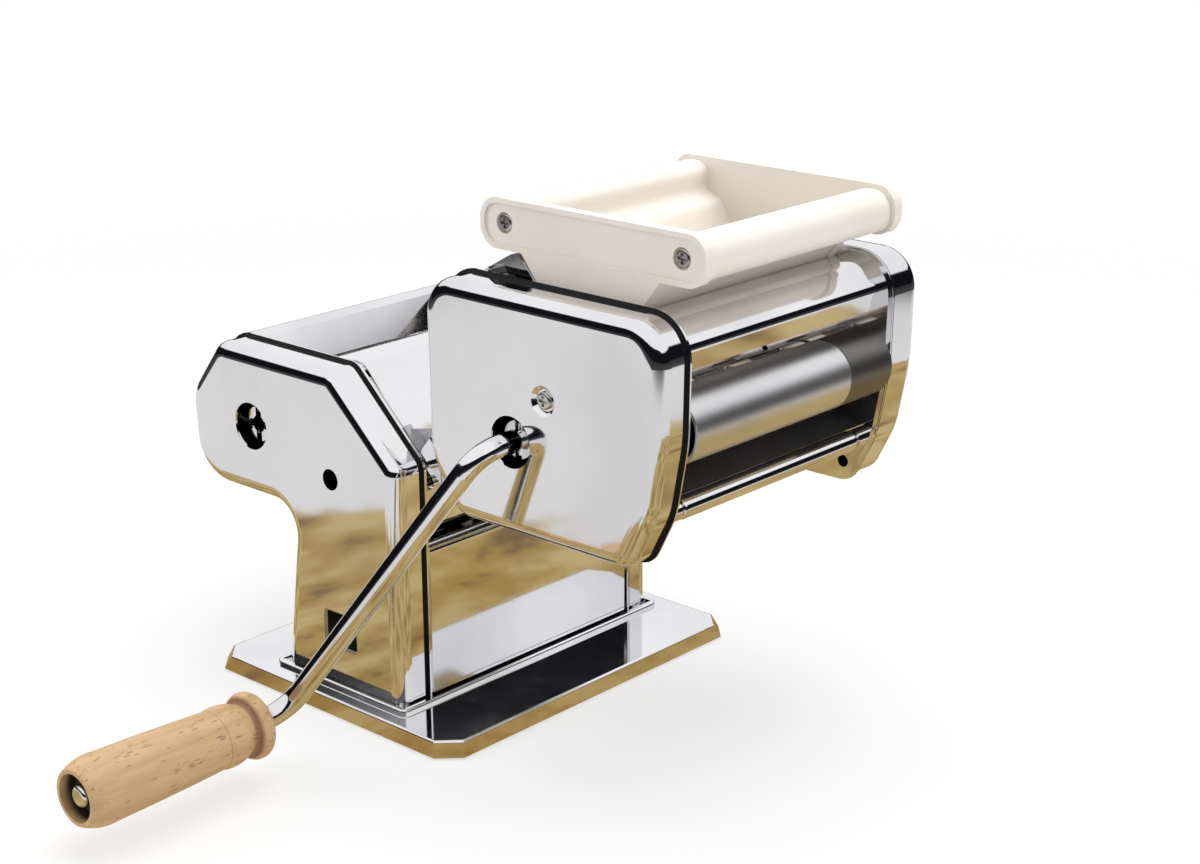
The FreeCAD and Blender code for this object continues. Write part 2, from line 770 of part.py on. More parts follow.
def make_regulator():
    disc = rod_y(moving_roller_x, sheet_roller_z, cam_radius, cam_y, cam_y + cam_thick)
    inner, inner_start, inner_end = spiral_edge(-cam_groove_width / 2)
    outer, outer_start, outer_end = spiral_edge(cam_groove_width / 2)
    groove = Part.Face(Part.Wire([inner, Part.LineSegment(inner_end, outer_end).toShape(), outer,
                                  Part.LineSegment(outer_start, inner_start).toShape()]))
    groove = groove.extrude(V(0, cam_groove_depth, 0))
    groove.translate(V(0, cam_y, 0))
    shaft = rod_y(moving_roller_x, sheet_roller_z, knob_shaft_radius,
                  cam_y + cam_thick, face_y + knob_length - knob_cap - knob_pull)
    save("regulator_cam_shaft", disc.cut(groove).fuse(shaft))
    y_start = face_y + seat_gap
    knob = rod_y(moving_roller_x, sheet_roller_z, knob_radius, y_start, y_start + knob_length)
    rim = [edge for edge in knob.Edges if all(abs(v.Point.y - y_start - knob_length) < 1e-6
                                              for v in edge.Vertexes)]
    knob = knob.makeFillet(knob_round, rim)
    flutes = []
    for index in range(knob_flutes):
        angle = math.radians(index * 360 / knob_flutes)
        flutes.append(rod_y(moving_roller_x + flute_ring * math.cos(angle),
                            sheet_roller_z + flute_ring * math.sin(angle),
                            flute_radius, y_start + flute_start, cut_reach))
    bore = rod_y(moving_roller_x, sheet_roller_z, knob_shaft_radius + running_gap,
                 0, y_start + knob_length - knob_cap)
    save("regulator_knob", knob.cut(flutes).cut(bore))


# ---- scrapers under the sheet rollers ----
def make_scrapers():
    angle = math.radians(scraper_angle)
    tip_z = sheet_roller_z - sheet_roller_radius * math.cos(angle) - scraper_gap
    foot_z = tip_z + scraper_gap - scraper_length

    holders = []
    for side, roller_x in ((1, fixed_roller_x), (-1, moving_roller_x - roller_travel)):
        tip_x = roller_x + side * (sheet_roller_radius * math.sin(angle) + scraper_gap)
        back_x = tip_x + side * scraper_thick
        blade = [(tip_x, tip_z, 0), (back_x, tip_z - scraper_slant, 0), (back_x, foot_z, 0),
                 (tip_x, foot_z, 0)]
        body = plate(blade, -roller_half, roller_half)
        rod_x = (tip_x + back_x) / 2
        rod = rod_y(rod_x, foot_z - scraper_slant, scraper_rod_radius, -frame_inner_y, frame_inner_y)
        holders.append(body.fuse(rod))
    save("sheet_scrapers", *holders)


# ---- ravioli unit frames, covers and hooks ----
def make_unit_frames():
    plain = plate(unit_outline(), -frame_outer_y, -frame_inner_y)
    root_x = unit_x - arm_root
    tip_low = (*along_rail(rail_run + arm_past_rail, arm_lift), arm_lift)
    tip_high = (*along_rail(rail_run - arm_over_rail, arm_lift), arm_lift)
    arm = plate([tip_low, tip_high, (root_x, unit_top - arm_drop, 0), (root_x, unit_low + arm_inside, 0),
                 (cover_x - unit_half_low_back + arm_inside, unit_low + seat_gap, 0)],
                -frame_outer_y, -frame_inner_y)
    frame = plain.fuse(arm).removeSplitter()
    for x in (driven_mould_x, idle_mould_x):
        frame = frame.cut(bush_hole(x, mould_z))
    corner_hole = rod_y(cover_x + corner_hole_across, unit_low + corner_hole_up, corner_hole_radius,
                        -cut_reach, 0)
    frame = frame.cut(corner_hole)
    save("unit_near_frame", frame)
    save("unit_far_frame", mirror_y(frame))


# The gears stand under the far cover, which is the deeper one.
def unit_cover(depth):
    cover = pressed_cover(unit_outline(), 0, depth)
    place = V(unit_x, -frame_outer_y - depth, centre_screw_z)
    bottom_radius = screw_head_radius + 1.0
    dimple = Part.makeCone(dimple_radius, bottom_radius, dimple_depth, place, V(0, 1, 0))
    wall = Part.makeCone(dimple_radius + sheet, bottom_radius + sheet, dimple_depth + sheet, place,
                         V(0, 1, 0))
    dished = cover.fuse(wall).cut(dimple)
    return dished.cut(rod_y(unit_x, centre_screw_z, screw_shank_radius + seat_gap, -cut_reach, 0))


def make_unit_covers():
    crank_hole = rod_y(driven_mould_x, mould_z, crank_hole_radius, -cut_reach, 0)
    save("unit_near_cover", unit_cover(cover_depth).cut(crank_hole))
    save("unit_far_cover", mirror_y(unit_cover(unit_far_depth)))


# Posts on the frames take the covers' centre screws.
def cover_post(depth):
    seat = -frame_outer_y - depth + dimple_depth + sheet
    post = rod_y(unit_x, centre_screw_z, post_radius, seat, -frame_outer_y)
    return post.cut(rod_y(unit_x, centre_screw_z, screw_shank_radius, seat, seat + cover_screw_length))


def make_cover_posts():
    save("cover_posts", cover_post(cover_depth), mirror_y(cover_post(unit_far_depth)))


# A pan head screw with a cross recess.
def cross_screw(x, z, head_y, shank_length):
    seat_y = head_y + screw_head_height
    head = rod_y(x, z, screw_head_radius, head_y, seat_y)
    rim = [edge for edge in head.Edges if all(abs(v.Point.y - head_y) < 1e-6 for v in edge.Vertexes)]
    head = head.makeFillet(screw_head_height * 0.6, rim)
    shank = rod_y(x, z, screw_shank_radius - press_gap, seat_y, seat_y + shank_length)
    arm = screw_head_radius * 0.6
    width = screw_head_radius * 0.17
    deep = head_y + screw_head_height * 0.6
    cross = block(x - arm, x + arm, head_y - 1, deep, z - width, z + width)
    cross = cross.fuse(block(x - width, x + width, head_y - 1, deep, z - arm, z + arm))
    return head.fuse(shank).cut(cross)


def cover_screw(depth):
    head_y = -frame_outer_y - depth + dimple_depth - screw_head_height
    return cross_screw(unit_x, centre_screw_z, head_y, cover_screw_length - sheet)


def make_cover_screws():
    save("unit_cover_screws", cover_screw(cover_depth), mirror_y(cover_screw(unit_far_depth)))


def make_hooks():
    y_back = -frame_inner_y + rail_thick + seat_gap
    y_front = y_back + hook_thick
    end = rail_run - rail_end - rail_stop - seat_gap
    start = end - hook_length
    jaw_top = -rail_inset + seat_gap
    jaw_low = -rail_inset - rail_width - seat_gap
    high = rail_plate(start, end, jaw_top, jaw_top + hook_jaw, -frame_inner_y + seat_gap, y_front)
    low = rail_plate(start, end, jaw_low - hook_jaw, jaw_low, -frame_inner_y + seat_gap, y_front)
    back = rail_plate(start, end, jaw_low - hook_jaw, jaw_top + hook_jaw, y_back, y_front)
    strap = plate([(*along_rail(start + strap_inset, jaw_top), 0), (strap_end_x, strap_top_z, strap_round),
                   (strap_end_x, strap_low_z, strap_round),
                   (*along_rail(end - strap_inset, jaw_top), 0)], y_back, y_front)
    pad = block(strap_end_x - strap_round - pad_width, strap_end_x - strap_round, -frame_inner_y, y_back,
                strap_low_z + pad_inset, strap_top_z - pad_inset)
    hook = high.fuse(low).fuse(back).fuse(strap).fuse(pad)
    save("near_hook", hook)
    save("far_hook", mirror_y(hook))


# ---- ravioli unit sheet metal, tubes and rods ----
# Where the hopper's tapered end stands at a height; side 1 is its front, -1 its back.
def hopper_taper_x(z, side):
    share = (z - hopper_throat_z) / (hopper_funnel_z - hopper_throat_z)
    top_x = hopper_x + side * hopper_funnel_half
    throat_x = unit_x + side * (hopper_throat_half + hopper_wall)
    return throat_x + share * (top_x - throat_x)


# How far beside the hopper's tapered end a lip stands, for a gap square to it.
def beside_taper(gap, side):
    slope = (hopper_taper_x(hopper_funnel_z, side) - hopper_taper_x(hopper_throat_z, side)) \
        / (hopper_funnel_z - hopper_throat_z)
    return side * gap * math.hypot(1, slope)


# Bent covers between the frames. Their folded lips are the seat of the hopper.
def front_shell():
    lip_z = shell_top_z - shell_lip
    away = beside_taper(seat_gap + sheet, 1)
    brow_x = cover_x + unit_half_waist
    points = [(hopper_taper_x(lip_z, 1) + away, 0, lip_z),
              (hopper_taper_x(shell_top_z, 1) + away, 0, shell_top_z),
              (brow_x - shell_top_inset, 0, shell_top_z), (brow_x - brow_step, 0, shell_brow_z),
              (brow_x - brow_step - brow_return, 0, shell_brow_z - brow_drop)]
    return bent_strip(points, [1.5, 12, 5], panel_half)


# The back one stands up beside the hopper in a ridge, with a tab turned down at each end.
def back_shell():
    lip_z = shell_top_z - shell_lip
    away = beside_taper(seat_gap, -1)
    foot_x = hopper_taper_x(hopper_funnel_z, -1) + away
    shoulder_x = foot_x - ridge_lean
    shoulder_z = hopper_ledge - ridge_under
    peak_x = shoulder_x - ridge_half
    peak_z = hopper_ledge - seat_gap
    brow_x = cover_x - unit_half_waist
    points = [(hopper_taper_x(lip_z, -1) + away, 0, lip_z), (foot_x, 0, hopper_funnel_z),
              (shoulder_x, 0, shoulder_z), (peak_x, 0, peak_z), (peak_x - ridge_run, 0, unit_top + 2),
              (brow_x + shell_top_inset, 0, shell_top_z), (brow_x + brow_step, 0, shell_brow_z),
              (brow_x + brow_step + brow_return, 0, shell_brow_z - brow_drop)]
    shell = bent_strip(points, [5, 2, 4, 3, 4, 5], panel_half)
    tab = plate([(foot_x - 0.5, hopper_funnel_z, 0), (shoulder_x - 0.5, shoulder_z - 0.5, 0),
                 (peak_x, peak_z - 0.8, 0), (peak_x - 7, peak_z - 4.5, 0),
                 (peak_x - 1, shell_top_z + 2, 0)], -panel_half, -panel_half + sheet)
    return shell.fuse(tab).fuse(mirror_y(tab))


def make_unit_shells():
    save("front_top_shell", front_shell())
    save("back_top_shell", back_shell())


def guide_tube(x):
    tube = rod_y(x, guide_tube_z, guide_tube_radius, -panel_half, panel_half)
    tube = tube.cut(rod_y(x, guide_tube_z, guide_tube_radius - guide_tube_wall, -cut_reach, cut_reach))
    groove = Part.makeTorus(guide_tube_radius + guide_groove_out, guide_groove_radius,
                            V(x, guide_groove_y, guide_tube_z), V(0, 1, 0))
    return tube.cut(groove)


def low_rod(x):
    half = frame_inner_y - low_rod_shoulder
    body = rod_y(x, low_rod_z, low_rod_radius, -half, half)
    ends = [edge for edge in body.Edges if len(edge.Vertexes) == 1]
    body = body.makeFillet(low_rod_round, ends)
    neck = rod_y(x, low_rod_z, low_rod_neck, -panel_half, panel_half)
    collar = rod_y(x, low_rod_z, low_rod_collar, -panel_half, -half - low_rod_groove)
    return body.fuse(neck).fuse(collar).fuse(mirror_y(collar))


def make_unit_rods():
    save("front_guide_tube", guide_tube(unit_x + guide_tube_half))
    save("back_guide_tube", guide_tube(unit_x - guide_tube_half))
    save("front_low_rod", low_rod(unit_x + low_rod_half))
    save("back_low_rod", low_rod(unit_x - low_rod_half))


# Strippers lift the ravioli off the moulding rollers; slots between their fingers.
def make_strippers():
    angle = math.radians(stripper_angle)
    tip_x = idle_mould_x + (mould_radius + stripper_gap) * math.cos(angle)
    tip_z = mould_z - (mould_radius + stripper_gap) * math.sin(angle)
    rod_x = unit_x + low_rod_half
    foot_z = low_rod_z + low_rod_radius
    blade = plate([(tip_x, tip_z, 0), (tip_x + stripper_thick, tip_z + stripper_gap, 0),
                   (rod_x + 1, foot_z + stripper_lap, 0),
                   (rod_x - stripper_slot_deep, foot_z - stripper_lap, 0)], -panel_half, panel_half)
    blade = blade.cut(rod_y(rod_x, low_rod_z, low_rod_radius + press_gap, -cut_reach, cut_reach))
    slots = []
    for index in range(mould_columns * slots_per_pocket + 1):
        y = (index / slots_per_pocket - mould_columns / 2) * pocket_pitch
        slots.append(block(tip_x - stripper_slot_deep, tip_x + stripper_slot_deep,
                           y - stripper_slot_half, y + stripper_slot_half, 0, cut_reach))
    blade = blade.cut(slots)
    save("front_stripper", blade)
    save("back_stripper", mirror_unit(blade))


# ---- hopper ----
# Its walls narrow to a throat over the nip of the moulding rollers.
def hopper_side(half_x, top, ledge, corner, shrink):
    upper = [(hopper_x + half_x, top, corner), (hopper_x + half_x, ledge, corner)]
    lower = [(hopper_x + hopper_ledge_half - shrink, ledge, 0),
             (hopper_x + hopper_funnel_half - shrink, hopper_funnel_z, 0),
             (unit_x + hopper_throat_half + hopper_wall, hopper_throat_z, 0)]
    return upper + lower


def hopper_outline(half_x, top, ledge, corner, shrink):
    right = hopper_side(half_x, top, ledge, corner, shrink)
    left = [(2 * hopper_x - x, z, radius) for x, z, radius in right[:-1]]
    throat_x, throat_z, _ = right[-1]
    return right + [(2 * unit_x - throat_x, throat_z, 0)] + left[::-1]


def hopper_end(half_x, top, ledge):
    y_face = -hopper_half_y
    end = plate(hopper_outline(half_x, top, ledge, hopper_corner, 0), y_face, y_face + hopper_end_wall)
    middle_z = (top + ledge) / 2
    panel = plate(rounded_rect(hopper_x, middle_z, 2 * half_x - 2 * hopper_rim,
                               top - ledge - 2 * hopper_rim, hopper_corner - hopper_rim),
                  -cut_reach, y_face + hopper_panel_deep)
    end = end.cut(panel)
    for side in (-1, 1):
        x = hopper_x + side * hopper_screw_half
        end = end.cut(rod_y(x, hopper_screw_z, screw_head_radius + screw_sink, -cut_reach,
                            y_face + screw_seat))
        end = end.cut(rod_y(x, hopper_screw_z, screw_shank_radius, -cut_reach, 0))
    return end


def make_hopper():
    near = hopper_end(hopper_half_x, hopper_top, hopper_ledge)
    save("hopper_near_end", near)
    save("hopper_far_end", mirror_y(near))
    inner_half_y = hopper_half_y - hopper_end_wall
    body = plate(hopper_outline(hopper_half_x - hopper_bar_inset, hopper_top - hopper_bar_inset,
                                hopper_ledge + hopper_bar_inset / 2, hopper_bar_corner,
                                hopper_bar_shrink),
                 -inner_half_y, inner_half_y)
    mouth = hopper_mouth_half
    funnel_in = hopper_funnel_half - hopper_wall
    right = [(hopper_x + mouth, hopper_top + 5, 0), (hopper_x + mouth, hopper_mouth_z, 5),
             (hopper_x + hopper_shelf_half, hopper_shelf_z, 8),
             (hopper_x + funnel_in, hopper_funnel_z, 10)]
    left = [(2 * hopper_x - x, z, radius) for x, z, radius in right[::-1]]
    inner = right + [(unit_x + hopper_throat_half, hopper_throat_z - 5, 0),
                     (unit_x - hopper_throat_half, hopper_throat_z - 5, 0)] + left
    body = body.cut(plate(inner, -hopper_half_y, hopper_half_y))
    lips = [edge for edge in body.Edges
            if all(abs(abs(v.Point.x - hopper_x) - mouth) < 1e-4 and v.Point.z > hopper_mouth_z + 8
                   for v in edge.Vertexes) and edge.Length > hopper_half_y]
    body = body.makeFillet(hopper_mouth_round, lips)
    for side in (-1, 1):
        hole = rod_y(hopper_x + side * hopper_screw_half, hopper_screw_z, screw_shank_radius,
                     -inner_half_y, -inner_half_y + 6)
        body = body.cut(hole).cut(mirror_y(hole))
    save("hopper_walls", body)


def make_hopper_screws():
    screws = []
    for side in (-1, 1):
        head_y = -hopper_half_y + screw_seat - screw_head_height
        screw = cross_screw(hopper_x + side * hopper_screw_half, hopper_screw_z, head_y,
                            hopper_screw_length)
        screws += [screw, mirror_y(screw)]
    save("hopper_screws", *screws)


# ---- crank and grip ----
def crank_path():
    socket = V(driven_mould_x, socket_face_y + socket_depth - crank_stub_gap, mould_z)
    first = V(driven_mould_x, crank_corner_y, mould_z)
    second = V(crank_end_x, crank_end_y, crank_end_z)
    end = V(crank_end_x, crank_tip_y, crank_end_z)
    start = V(driven_mould_x, socket_face_y - crank_stand_off, mould_z)
    edges = []
    place = start
    for corner, following in ((first, second), (second, end)):
        back = (place - corner).normalize()
        ahead = (following - corner).normalize()
        half = back.getAngle(ahead) / 2
        reach = crank_bend / math.tan(half)
        centre = corner + (back + ahead).normalize() * (crank_bend / math.sin(half))
        middle = centre + (corner - centre).normalize() * crank_bend
        edges.append(Part.LineSegment(place, corner + back * reach).toShape())
        edges.append(Part.Arc(corner + back * reach, middle, corner + ahead * reach).toShape())
        place = corner + ahead * reach
    edges.append(Part.LineSegment(place, end).toShape())
    return Part.Wire(edges), start, socket


def make_crank():
    path, start, socket = crank_path()
    profile = Part.Wire(Part.makeCircle(rod_radius, start, V(0, -1, 0)))
    rod = path.makePipeShell([profile], True, False)
    stub = rod_y(driven_mould_x, mould_z, socket_bore - running_gap, start.y, socket.y)
    pin_half = socket_radius - drive_pin_inset
    pin_y = socket_face_y + drive_pin_radius + drive_pin_sunk
    pin = Part.makeCylinder(drive_pin_radius, 2 * pin_half,
                            V(driven_mould_x, pin_y, mould_z - pin_half), V(0, 0, 1))
    rod = rod.fuse(stub).fuse(pin)
    ends = [edge for edge in rod.Edges
            if all(abs(v.Point.y - crank_tip_y) < 1e-4 for v in edge.Vertexes)]
    rod = rod.makeFillet(crank_tip_round, ends)
    save("crank_rod", rod)
    washer_y = grip_start_y - grip_length + grip_recess_depth
    washer = rod_y(crank_end_x, crank_end_z, washer_radius, washer_y - washer_thick - seat_gap,
                   washer_y - seat_gap)
    washer = washer.cut(rod_y(crank_end_x, crank_end_z, rod_radius + press_gap,
                              washer_y - 2 * washer_thick, washer_y))
    save("spindle_washer", washer)


def make_grip():
    start = grip_start_y
    end = grip_start_y - grip_length
    shelf = end + grip_recess_depth

    def at(radius, y):
        return V(crank_end_x + radius, y, crank_end_z)

    bore = rod_radius + running_gap
    ring_round = 4.2
    edges = [
        Part.LineSegment(at(bore, start), at(grip_radius - 2.5, start)).toShape(),
        Part.Arc(at(grip_radius - 2.5, start), at(grip_radius, start - ring_round),
                 at(grip_radius - 2.2, start - 2 * ring_round)).toShape(),
        Part.Arc(at(grip_radius - 2.2, start - 2 * ring_round), at(grip_neck - 2.2, start - 10.6),
                 at(grip_neck - 0.6, start - 13.4)).toShape(),
        Part.Arc(at(grip_neck - 0.6, start - 13.4), at(grip_neck + 0.9, start - 20),
                 at(grip_neck + 0.2, start - 27)).toShape(),
        Part.Arc(at(grip_neck + 0.2, start - 27), at(grip_radius - 0.9, start - 58),
                 at(grip_radius, end + 16)).toShape(),
        Part.Arc(at(grip_radius, end + 16), at(grip_radius - 0.8, end + 6.0),
                 at(grip_radius - 3.4, end)).toShape(),
        Part.LineSegment(at(grip_radius - 3.4, end), at(grip_recess_radius, end)).toShape(),
        Part.LineSegment(at(grip_recess_radius, end), at(grip_recess_radius, shelf)).toShape(),
        Part.LineSegment(at(grip_recess_radius, shelf), at(bore, shelf)).toShape(),
        Part.LineSegment(at(bore, shelf), at(bore, start)).toShape(),
    ]
    profile = Part.Face(Part.Wire(edges))
    grip = profile.revolve(V(crank_end_x, 0, crank_end_z), V(0, 1, 0), 360)
    save("wooden_grip", grip)


make_base_tray()
make_feet()
make_machine_frames()
make_rails()
make_machine_covers()
make_clamp_sleeves()
make_machine_panels()
make_machine_spacers()
make_gears()
make_sheet_rollers()
make_mould_rollers()
make_bushes()
make_moving_bearings()
make_regulator()
make_scrapers()
make_unit_frames()
make_unit_covers()
make_cover_posts()
make_cover_screws()
make_hooks()
make_unit_shells()
make_unit_rods()
make_strippers()
make_hopper()
make_hopper_screws()
make_crank()
make_grip()
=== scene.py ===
import bpy
import bmesh
import json
import math
from mathutils import Matrix, Vector

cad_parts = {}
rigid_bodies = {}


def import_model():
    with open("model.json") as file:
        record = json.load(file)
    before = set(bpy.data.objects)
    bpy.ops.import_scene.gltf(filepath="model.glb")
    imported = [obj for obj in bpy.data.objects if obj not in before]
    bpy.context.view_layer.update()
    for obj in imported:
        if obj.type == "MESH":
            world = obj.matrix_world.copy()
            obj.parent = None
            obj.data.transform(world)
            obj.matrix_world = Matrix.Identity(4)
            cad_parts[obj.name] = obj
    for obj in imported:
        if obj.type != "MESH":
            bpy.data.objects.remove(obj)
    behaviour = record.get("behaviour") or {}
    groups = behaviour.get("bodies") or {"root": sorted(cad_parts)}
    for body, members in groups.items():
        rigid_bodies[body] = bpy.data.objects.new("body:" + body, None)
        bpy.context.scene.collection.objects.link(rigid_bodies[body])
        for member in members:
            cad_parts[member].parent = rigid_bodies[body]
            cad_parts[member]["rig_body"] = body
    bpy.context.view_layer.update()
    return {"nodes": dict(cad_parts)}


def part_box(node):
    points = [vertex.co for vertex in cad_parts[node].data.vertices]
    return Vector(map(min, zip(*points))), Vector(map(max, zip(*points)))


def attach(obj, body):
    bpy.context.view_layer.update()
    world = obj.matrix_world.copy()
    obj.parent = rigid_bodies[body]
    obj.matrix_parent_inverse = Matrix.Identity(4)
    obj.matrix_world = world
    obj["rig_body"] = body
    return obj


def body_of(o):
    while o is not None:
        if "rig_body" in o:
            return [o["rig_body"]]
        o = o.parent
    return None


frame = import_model()
print("frame loaded:", len(frame["nodes"]), "nodes")
scene = bpy.context.scene


class Wire:  # a socket: a sum or product of wires adds the Math nodes for it
    def __init__(self, finish, socket):
        self.finish = finish
        self.socket = socket

    def other(self, name):  # another output of the same node
        return Wire(self.finish, self.socket.node.outputs[name])

    def count(self, operation, first, second=None):
        values = {0: first} if second is None else {0: first, 1: second}
        return self.finish.make("Math", {"operation": operation}, values)

    def __add__(self, other):
        return self.count("ADD", self, other)

    def __sub__(self, other):
        return self.count("SUBTRACT", self, other)

    def __rsub__(self, other):
        return self.count("SUBTRACT", other, self)

    def __mul__(self, other):
        return self.count("MULTIPLY", self, other)

    def __truediv__(self, other):
        return self.count("DIVIDE", self, other)

    def __pow__(self, other):
        return self.count("POWER", self, other)

    def __gt__(self, other):
        return self.count("GREATER_THAN", self, other)

    def __lt__(self, other):
        return self.count("LESS_THAN", self, other)

    def __abs__(self):
        return self.count("ABSOLUTE", self)

    __radd__ = __add__
    __rmul__ = __mul__


class Finish:  # one material, or the world, with the few ways in which its nodes are made
    def __init__(self, owner):
        owner.use_nodes = True
        self.owner = owner
        self.tree = owner.node_tree
        self.tree.nodes.clear()

    def make(self, kind, settings=None, values=None, out=0):
        node = self.tree.nodes.new("ShaderNode" + kind)
        for name, value in (settings or {}).items():
            setattr(node, name, value)
        for name, value in (values or {}).items():
            self.join(value, node.inputs[name])
        return Wire(self, node.outputs[out])

    def join(self, value, socket):
        if isinstance(value, Wire):
            self.tree.links.new(value.socket, socket)
        else:
            socket.default_value = value

    def mix(self, factor, first, second):
        first, second = ((*c, 1) if isinstance(c, tuple) else c for c in (first, second))
        return self.make("Mix", {"data_type": "RGBA"}, {0: factor, 6: first, 7: second}, out=2)

    def step(self, value, low, high, fromLow=0.0, fromHigh=1.0):
        return self.make("MapRange", {"interpolation_type": "SMOOTHSTEP"},
                         {"Value": value, "From Min": low, "From Max": high,
                          "To Min": fromLow, "To Max": fromHigh})

    def place(self, scale=(1, 1, 1), turn=(0, 0, 0)):
        coords = self.make("TexCoord", out="Object")
        return self.make("Mapping", None, {"Vector": coords, "Scale": scale, "Rotation": turn})

    def axis(self, number):
        coords = self.make("SeparateXYZ", None, {0: self.make("TexCoord", out="Object")})
        return coords.other(number)

    def noise(self, scale, detail=2.0, roughness=0.5, stretch=(1, 1, 1), turn=(0, 0, 0)):
        return self.make("TexNoise", None, {"Vector": self.place(stretch, turn), "Scale": scale,
                                            "Detail": detail, "Roughness": roughness})

    def bump(self, height, strength, distance):
        return self.make("Bump", None,
                         {"Height": height, "Strength": strength, "Distance": distance})

    def surface(self, varying, fixed=None):
        values = dict(fixed or {})
        values.update(varying)
        self.output("OutputMaterial", self.make("BsdfPrincipled", None, values))

    def output(self, kind, shader):
        node = self.tree.nodes.new("ShaderNode" + kind)
        self.tree.links.new(shader.socket, node.inputs["Surface"])


def bodyOf(node):
    return body_of(frame["nodes"][node])[0]


def newPiece(bm, name, finish, body, smooth=True):
    mesh = bpy.data.meshes.new(name)
    bm.to_mesh(mesh)
    bm.free()
    for face in mesh.polygons:
        face.use_smooth = smooth
    mesh.materials.append(finish)
    piece = bpy.data.objects.new(name, mesh)
    scene.collection.objects.link(piece)
    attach(piece, body)
    return piece


def newFinish(name):
    return Finish(bpy.data.materials.new(name))


# Chrome plate: slow clouds and waves in the sheet, smudges, and hairlines along x. Its near black
# is painted shade for shut-in and hollow places.
chrome = {"colour": (0.86, 0.86, 0.87), "shade": (0.76, 0.76, 0.775), "roughness": 0.055,
          "clouds": 9.0, "smudges": 38.0, "smudge": 0.05, "hairs": 900.0, "hairRough": 0.012,
          "hairDeep": 0.0000012, "waves": 14.0, "waveDeep": 0.00012, "strength": 0.35,
          "paintedLightColour": (0.012, 0.012, 0.013), "dull": 0.35}


# A lean above 0 makes the surface mirror as if it faced further down, and one below 0 further
# up, with no change to the shape. It acts under the height below, if that is given. The mask
# marks where a painted colour takes over: painted shade in hollows, behind the covers and on
# the guide tube's end, and a painted reflection of the table on the tray's edge.
def polish(f, rough=0.0, lean=0.0, below=None, paintedLightMask=None, paintedLightColour=chrome["paintedLightColour"],
           dull=chrome["dull"]):
    cloud = f.noise(chrome["clouds"], 3.0, 0.6)
    smudge = f.noise(chrome["smudges"], 4.0, 0.65)
    hair = f.noise(chrome["hairs"], 2.0, 0.5, stretch=(0.05, 1, 1))
    height = f.noise(chrome["waves"], 1.0, 0.4) * chrome["waveDeep"] + hair * chrome["hairDeep"]
    if lean:
        level = f.axis(2)
        height = height + (level.count("MINIMUM", level, below) if below else level) * lean
    colour = f.mix(f.step(cloud, 0.35, 0.7), chrome["colour"], chrome["shade"])
    roughness = (chrome["roughness"] + rough + f.step(smudge, 0.52, 0.8) * chrome["smudge"]
                 + hair * chrome["hairRough"])
    if paintedLightMask:
        colour = f.mix(paintedLightMask, colour, paintedLightColour)
        roughness = roughness + paintedLightMask * dull
    normal = f.bump(height, 1.0 if lean else chrome["strength"], 1.0)
    f.surface({"Base Color": colour, "Roughness": roughness, "Normal": normal},
              {"Metallic": 1.0})
    return f.owner


def chromeFinish():
    return polish(newFinish("mirrorChrome"))


guideTube = {"rough": 0.31, "groove": 0.0423, "paintedLightColour": (0.25, 0.24, 0.225), "dull": 0.06}


# painted shade: the short end past the groove is painted darker
def satinFinish():  # the short end past the groove is darker
    f = newFinish("satinChrome")
    return polish(f, rough=guideTube["rough"], paintedLightMask=(f.axis(1) > guideTube["groove"]),
                  paintedLightColour=guideTube["paintedLightColour"], dull=guideTube["dull"])


panelLean = {"wall": 0.075, "head": -0.2}


def leaningFinish(name, lean):  # only the mirror image leans
    return polish(newFinish(name), lean=lean)


trayEdge = {"top": 0.0080, "fadeUp": 0.0004, "fadeDown": 0.0003, "lean": 0.42,
            "paintedTableTint": (0.70, 0.645, 0.57), "dull": 0.07}


# painted reflection: the flared edge's warm tint is painted in for the mirrored table, and its lean
# only tips the mirror image
def trayFinish():  # polished on top, and its flared edge mirrors the table
    f = newFinish("trayChrome")
    top = trayEdge["top"]
    skirt = f.step(f.axis(2), top + trayEdge["fadeUp"], top - trayEdge["fadeDown"])
    return polish(f, lean=trayEdge["lean"], below=top, paintedLightMask=skirt, paintedLightColour=trayEdge["paintedTableTint"],
                  dull=trayEdge["dull"])


frameSide = {"outer": 0.07796}  # the plates' outer sides lie just past this
crankHole = {"x": 0.1256, "z": 0.175, "reach": 0.024}


# painted shade: the plates' outer sides, shut in behind the covers, are painted near black
def frameFinish():  # the plates' outer sides are shut in behind the covers
    f = newFinish("frameChrome")
    return polish(f, paintedLightMask=(abs(f.axis(1)) > frameSide["outer"]))


# painted shade: only the part behind the crank's hole is painted near black
def unitFrameFinish():  # here only the part behind the crank's hole is shut in
    f = newFinish("unitFrameChrome")
    x, z = f.axis(0) - crankHole["x"], f.axis(2) - crankHole["z"]
    ring = (x * x + z * z) ** 0.5
    shut = (ring < crankHole["reach"]) * (abs(f.axis(1)) > frameSide["outer"])
    return polish(f, paintedLightMask=shut)


socketFace = {"x": -0.069, "z": 0.1415, "bore": 0.0047, "lobe": 0.0021, "reach": 0.0072,
              "rough": 0.06, "mouth": -0.078}


# painted shade: the socket's bore and cross, deeper than its mouth, are painted near black
def socketFinish():  # a dark cross shows in the empty crank socket
    f = newFinish("socketChrome")
    x, z = f.axis(0) - socketFace["x"], f.axis(2) - socketFace["z"]
    ring = (x * x + z * z) ** 0.5
    slots = (abs(x) < socketFace["lobe"]) + (abs(z) < socketFace["lobe"])
    lobes = (ring < socketFace["reach"]) * slots
    inside = f.step((ring < socketFace["bore"]) + lobes, 0.0, 1.0)
    return polish(f, rough=socketFace["rough"], paintedLightMask=inside * (f.axis(1) < socketFace["mouth"]))


turned = {"shade": (0.70, 0.70, 0.71), "colour": (0.84, 0.84, 0.85), "roughness": 0.16,
          "lines": 60.0, "clouds": 18.0, "deep": 0.00006}


